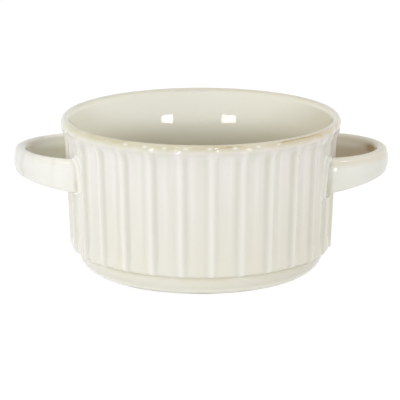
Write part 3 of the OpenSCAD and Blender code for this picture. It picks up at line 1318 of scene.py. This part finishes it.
@dataclass(frozen=True)
class SlipJoint:
    """The slip under one strap end: a pad whose rim stands up as a bead around the strap."""

    side: Side
    end: End
    strap: StrapForm
    bowl: BowlForm
    corner_steps: int = 10
    side_steps: int = 14
    bead_steps: int = 15
    least_corner: float = 0.4 * MM
    knob_place: float = 0.3
    knob_width: float = 1.8 * MM
    lean_start: float = 0.3
    buried: float = -2.2 * MM
    tuck: float = 0.35 * MM
    bead_foot: float = 0.6 * MM
    bead_power: float = 0.7
    groove_steps: tuple[Span, Span] = ((0.0, -0.5 * MM), (0.5 * MM, -0.4 * MM))
    outer_steps: tuple[Triple, ...] = (
        (-1.0 * MM, -1.15 * MM, 0.0),
        (-0.5 * MM, -0.85 * MM, 0.05),
        (-0.12 * MM, -0.72 * MM, 0.5),
        (-0.02 * MM, -0.66 * MM, 0.6),
    )
    edge_stain: float = 0.5
    edge_stain_end: float = 0.12
    groove_stain: float = 0.9
    groove_stain_start: float = 0.6
    tan_share: float = 0.47
    tan_fade: float = 3.5 * MM
    crest_white: float = 0.9
    crest_start: float = 0.1

    @property
    def height(self) -> float:
        """Height of the strap's root."""
        return self.strap.root(self.end)[1]

    @property
    def top_z(self) -> float:
        """Height at which the root's upper edge lies."""
        return self.strap.top_z + self.strap.root(self.end)[0]

    def outline(self, inset: float) -> np.ndarray:
        """The pad's outline, drawn in by a distance.

        Args:
            inset: How far it is drawn in from the pad's edge.

        Returns:
            Points as across and up, about the middle of the strap's end.
        """
        strap = self.strap
        setting = strap.setting
        half_w = (strap.thickness + setting.pad_margin + setting.inner_margin) / 2.0 - inset
        shift = (setting.pad_margin - setting.inner_margin) / 2.0
        half_h = (self.height + strap.pad_head + setting.pad_foot) / 2.0 - inset
        drop = (setting.pad_foot - strap.pad_head) / 2.0
        radius = min(max(setting.pad_corner - inset, self.least_corner), half_w)
        shoulder = min(max(setting.pad_shoulder - inset, self.least_corner), half_h)
        sides = []
        for start, sign_x, sign_y in ((0, 1, 1), (90, -1, 1), (180, -1, -1), (270, 1, -1)):
            tall = shoulder if sign_y > 0 else radius
            corner = arc(0.0, 0.0, 1.0, start, start + 90, self.corner_steps) * (radius, tall)
            sides.append(corner + (shift + sign_x * (half_w - radius), sign_y * (half_h - tall) - drop))
        joined = []
        for here, following in zip(sides, sides[1:] + sides[:1]):
            joined.append(here)
            joined.append(straight(tuple(here[-1]), tuple(following[0]), self.side_steps)[1:-1])
        return np.concatenate(joined)

    def swell(self, rings: np.ndarray, lifts: np.ndarray) -> np.ndarray:
        """Thickens the bead to a knob at its upper outer corner.

        Args:
            rings: The pad's points.
            lifts: How far each ring stands out past the ridges.

        Returns:
            The points with the knob.
        """
        strap = self.strap
        outer = self.end.value * (strap.centre_half_width + strap.thickness * self.knob_place)
        share = hump(rings[..., 1], outer, self.knob_width)
        share = share * hump(rings[..., 2], self.top_z, self.knob_width)
        share = share * np.clip(lifts / strap.setting.bead_height, 0.0, 1.0)[:, None]
        grown = 1.0 + strap.setting.knob * share / np.hypot(rings[..., 0], rings[..., 1])
        return rings * np.stack([grown, grown, np.ones(grown.shape)], axis=-1)

    def on_wall(self, outline: np.ndarray, lift: float) -> np.ndarray:
        """Lays an outline on the wall.

        Args:
            outline: Points as across and up, about the middle of the strap's end.
            lift: How far the points stand out past the ridges.

        Returns:
            The points in space.
        """
        strap = self.strap
        lean = strap.setting.slant * (self.lean_start - outline[:, 1] / self.height) * (outline[:, 0] > 0.0)
        y = self.end.value * (strap.centre_half_width + outline[:, 0] + lean)
        z = self.top_z - self.height / 2.0 + outline[:, 1]
        x = np.sqrt((self.bowl.ridge_radius(z) + lift) ** 2 - y ** 2)
        return np.stack([self.side.value * x, y, z], axis=1)

    def steps(self) -> np.ndarray:
        """Lays out the pad's rings, from its buried back over its edge and the bead into its groove.

        Returns:
            For each ring its inset from the pad's edge, how far it stands out past the ridges, and how
            far its glaze thins.
        """
        bead = self.strap.setting.bead
        inner = bead + self.tuck
        top = self.strap.setting.bead_height + self.bead_foot
        steps = [(inner, self.buried, 0.0), (self.outer_steps[0][0], self.buried, 0.0), *self.outer_steps]
        for share in np.linspace(0.0, 1.0, self.bead_steps):
            lift = top * math.sin(math.pi * share) ** self.bead_power - self.bead_foot
            start = self.groove_stain_start
            stain = self.groove_stain * max(share - start, 0.0) / (1.0 - start)
            stain += self.edge_stain * max(self.edge_stain_end - share, 0.0) / self.edge_stain_end
            steps.append((bead * share, lift, stain))
        steps += [(inner + further, lift, 1.0) for further, lift in self.groove_steps]
        return np.array(steps)

    def build(self) -> bpy.types.Object:
        """Makes the pad with its bead, paints the thin glaze in its groove and paints the bead's crest
        lighter, partly as a painted highlight.

        Returns:
            The slip's object.
        """
        setting = self.strap.setting
        insets, lifts, stains = self.steps().T
        rings = np.array([self.on_wall(self.outline(inset), lift) for inset, lift in zip(insets, lifts)])
        rings = self.swell(rings, lifts)
        low = ease(rings[..., 2], self.top_z - setting.groove_tan_drop, -self.tan_fade)
        thin = self.tan_share * stains[:, None] * (setting.groove_tan + (1.0 - setting.groove_tan) * low)
        # The bead's crest is painted lighter, partly as a painted highlight.
        crest = self.crest_white * ease(lifts / setting.bead_height, self.crest_start, 1.0)
        maps = {"thin_glaze": thin, "whiter_glaze_and_highlight": crest[:, None] * np.ones(low.shape)}
        order = self.side.value * self.end.value
        place = f"{self.side.name.lower()}_{self.end.name.lower()}"
        piece = ring_mesh(f"{place}_slip_bead", rings[::order])
        paint(piece, {name: values[::order] for name, values in maps.items()})
        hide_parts(f"{place}_slip_joint")
        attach(piece, "root")
        return piece


@dataclass(frozen=True)
class Panel:
    """One soft light: a lit rectangle that faces the bowl from a bearing, an elevation and a distance."""

    name: str
    bearing: float
    elevation: float
    width: float
    height: float
    power: float
    distance: float = 2.4


@dataclass(frozen=True)
class Glow:
    """One soft part of the surrounding light: a bearing, an elevation, a level and how tight it is."""

    bearing: float
    elevation: float
    level: float
    tightness: float = 8.0


def direction(bearing: float, elevation: float) -> Vector:
    """The unit vector from the bowl towards a bearing, from the front towards +X, and an elevation.

    Args:
        bearing: The bearing, in degrees.
        elevation: The elevation, in degrees.

    Returns:
        The vector.
    """
    turn = math.radians(bearing)
    rise = math.radians(elevation)
    return Vector((math.sin(turn) * math.cos(rise), -math.cos(turn) * math.cos(rise), math.sin(rise)))


@dataclass(frozen=True)
class Studio:
    """The camera of the photograph, the pale floor and the lights."""

    distance: float = 1.0066
    camera_height: float = 0.2895
    pitch_down: float = 14.42
    lens: float = 199.42
    sensor: float = 36.0
    shift_x: float = -0.0027
    near_clip: float = 0.01
    aim: Triple = (0.0, 0.0, 0.05)
    floor_radius: float = 3.0
    floor_sides: int = 64
    floor_colour: Colour = (0.9, 0.9, 0.89)
    floor_roughness: float = 0.9
    floor_white: float = 0.93
    floor_level: float = 1.05
    tint: Colour = (1.0, 0.995, 0.98)
    glows: tuple[Glow, ...] = (
        Glow(-95.0, 8.0, 1.6),
        Glow(-60.0, 8.0, 2.15),
        Glow(60.0, 8.0, 1.35),
        Glow(95.0, 8.0, 1.7),
        Glow(0.0, 90.0, 1.55, 5.0),
    )
    panels: tuple[Panel, ...] = (
        Panel("left_softbox", -26.6, 12.7, 0.56, 0.42, 7.6),
        Panel("right_softbox", 33.0, 12.7, 0.47, 0.42, 7.8),
    )

    def hang(self, name: str, data: bpy.types.ID) -> bpy.types.Object:
        """Adds an object with its camera, light or mesh to the scene.

        Args:
            name: The object's name.
            data: What it holds.

        Returns:
            The object.
        """
        thing = bpy.data.objects.new(name, data)
        bpy.context.scene.collection.objects.link(thing)
        return thing

    def camera(self) -> None:
        """Sets the camera where the photograph was taken from."""
        data = bpy.data.cameras.new("photo_camera")
        data.lens = self.lens
        data.sensor_width = self.sensor
        data.shift_x = self.shift_x
        data.clip_start = self.near_clip
        camera = self.hang("photo_camera", data)
        camera.location = (0.0, -self.distance, self.camera_height)
        camera.rotation_euler = (math.radians(90.0 - self.pitch_down), 0.0, 0.0)
        bpy.context.scene.camera = camera

    def light(self, panel: Panel) -> None:
        """Hangs one soft light.

        Args:
            panel: The light's place, size and power.
        """
        data = bpy.data.lights.new(panel.name, "AREA")
        data.shape = "RECTANGLE"
        data.size = panel.width
        data.size_y = panel.height
        data.energy = panel.power
        lamp = self.hang(panel.name, data)
        towards = -direction(panel.bearing, panel.elevation)
        lamp.location = Vector(self.aim) - towards * panel.distance
        lamp.rotation_euler = towards.to_track_quat("-Z", "Y").to_euler()

    def floor(self) -> None:
        """Lays a round pale floor that the camera sees as white, and that keeps the bowl's shadow."""
        edge = arc(0.0, 0.0, self.floor_radius, 0.0, 360.0, self.floor_sides)[:-1]
        mesh = bpy.data.meshes.new("pale_floor")
        mesh.from_pydata([(x, y, 0.0) for x, y in edge], [], [list(range(len(edge)))])
        floor = self.hang("pale_floor", mesh)
        desk = MaterialDesk("white_floor")
        desk.feed(desk.shader, {"Base Color": (*self.floor_colour, 1.0), "Roughness": self.floor_roughness})
        white = desk.add("Emission", {"Strength": self.floor_level}).outputs["Emission"]
        share = self.seen(desk, self.floor_white)
        desk.feed(desk.output, {"Surface": desk.blend(share, desk.shader.outputs["BSDF"], white)})
        mesh.materials.append(desk.material)

    def seen(self, desk: NodeDesk, share: float) -> Socket:
        """Tells what is seen, directly or in a reflection, from what gives light.

        Args:
            desk: The desk to add to.
            share: The result for a ray that sees the surface.

        Returns:
            A socket that is share for camera, glossy and transmission rays and 0 for all others.
        """
        rays = desk.add("LightPath", {}).outputs
        total = rays["Is Camera Ray"]
        for name in ("Is Glossy Ray", "Is Transmission Ray"):
            total = desk.figure("MAXIMUM", total, rays[name])
        return desk.figure("MULTIPLY", total, share)

    def glow(self, desk: NodeDesk, glow: Glow) -> Socket:
        """Adds one soft part of the surrounding light.

        Args:
            desk: The world's desk.
            glow: The light's direction, level and tightness.

        Returns:
            The light's level in each direction.
        """
        way = desk.add("TexCoord", {}).outputs["Generated"]
        node = desk.add("VectorMath", {0: way, 1: direction(glow.bearing, glow.elevation)})
        node.operation = "DOT_PRODUCT"
        towards = desk.figure("MAXIMUM", node.outputs["Value"], 0.0)
        return desk.figure("MULTIPLY", desk.figure("POWER", towards, glow.tightness), glow.level)

    def sky(self) -> None:
        """Surrounds the scene with soft light, mostly from both sides, and shows white behind the bowl."""
        world = bpy.data.worlds.new("studio_light")
        world.use_nodes = True
        desk = NodeDesk(world.node_tree)
        level = self.glow(desk, self.glows[0])
        for glow in self.glows[1:]:
            level = desk.figure("ADD", level, self.glow(desk, glow))
        soft = desk.add("Background", {"Color": (*self.tint, 1.0), "Strength": level}).outputs["Background"]
        white = desk.add("Background", {"Color": (1.0, 1.0, 1.0, 1.0)}).outputs["Background"]
        desk.add("OutputWorld", {"Surface": desk.blend(self.seen(desk, 1.0), soft, white)})
        bpy.context.scene.world = world

    def build(self) -> None:
        """Sets the camera, the floor, the surrounding light and the panels."""
        self.camera()
        self.floor()
        self.sky()
        for panel in self.panels:
            self.light(panel)
        bpy.context.scene.view_settings.view_transform = "Standard"


def dress(pieces: list[bpy.types.Object], glaze: bpy.types.Material) -> None:
    """Gives pieces their glaze and reports them.

    Args:
        pieces: The pieces.
        glaze: The material.
    """
    for piece in pieces:
        piece.data.materials.append(glaze)
        LOG.info("built %s with %d faces", piece.name, len(piece.data.polygons))


def main() -> None:
    """Loads the frame, builds the bowl, its handles and their joints, and sets the studio around them."""
    logging.basicConfig(level=logging.INFO, format="%(name)s: %(message)s")
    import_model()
    bowl = BowlForm.from_frame()
    Studio().build()
    dress([BowlBody(bowl).build()], GlazeMaker("body_glaze", GlazeFinish(), bowl).glaze())
    for side in Side:
        strap = StrapForm.from_frame(side, bowl)
        finish = HANDLE_FINISHES_WITH_PAINTED_LIGHT[side]
        handle = StrapHandle(side, strap).build()
        dress([handle], GlazeMaker(f"{side.name.lower()}_handle_glaze", finish, bowl).glaze())
        slip = GlazeMaker(f"{side.name.lower()}_slip_glaze", finish, bowl).glaze()
        dress([SlipJoint(side, end, strap, bowl).build() for end in End], slip)


if __name__ == "__main__":
    main()
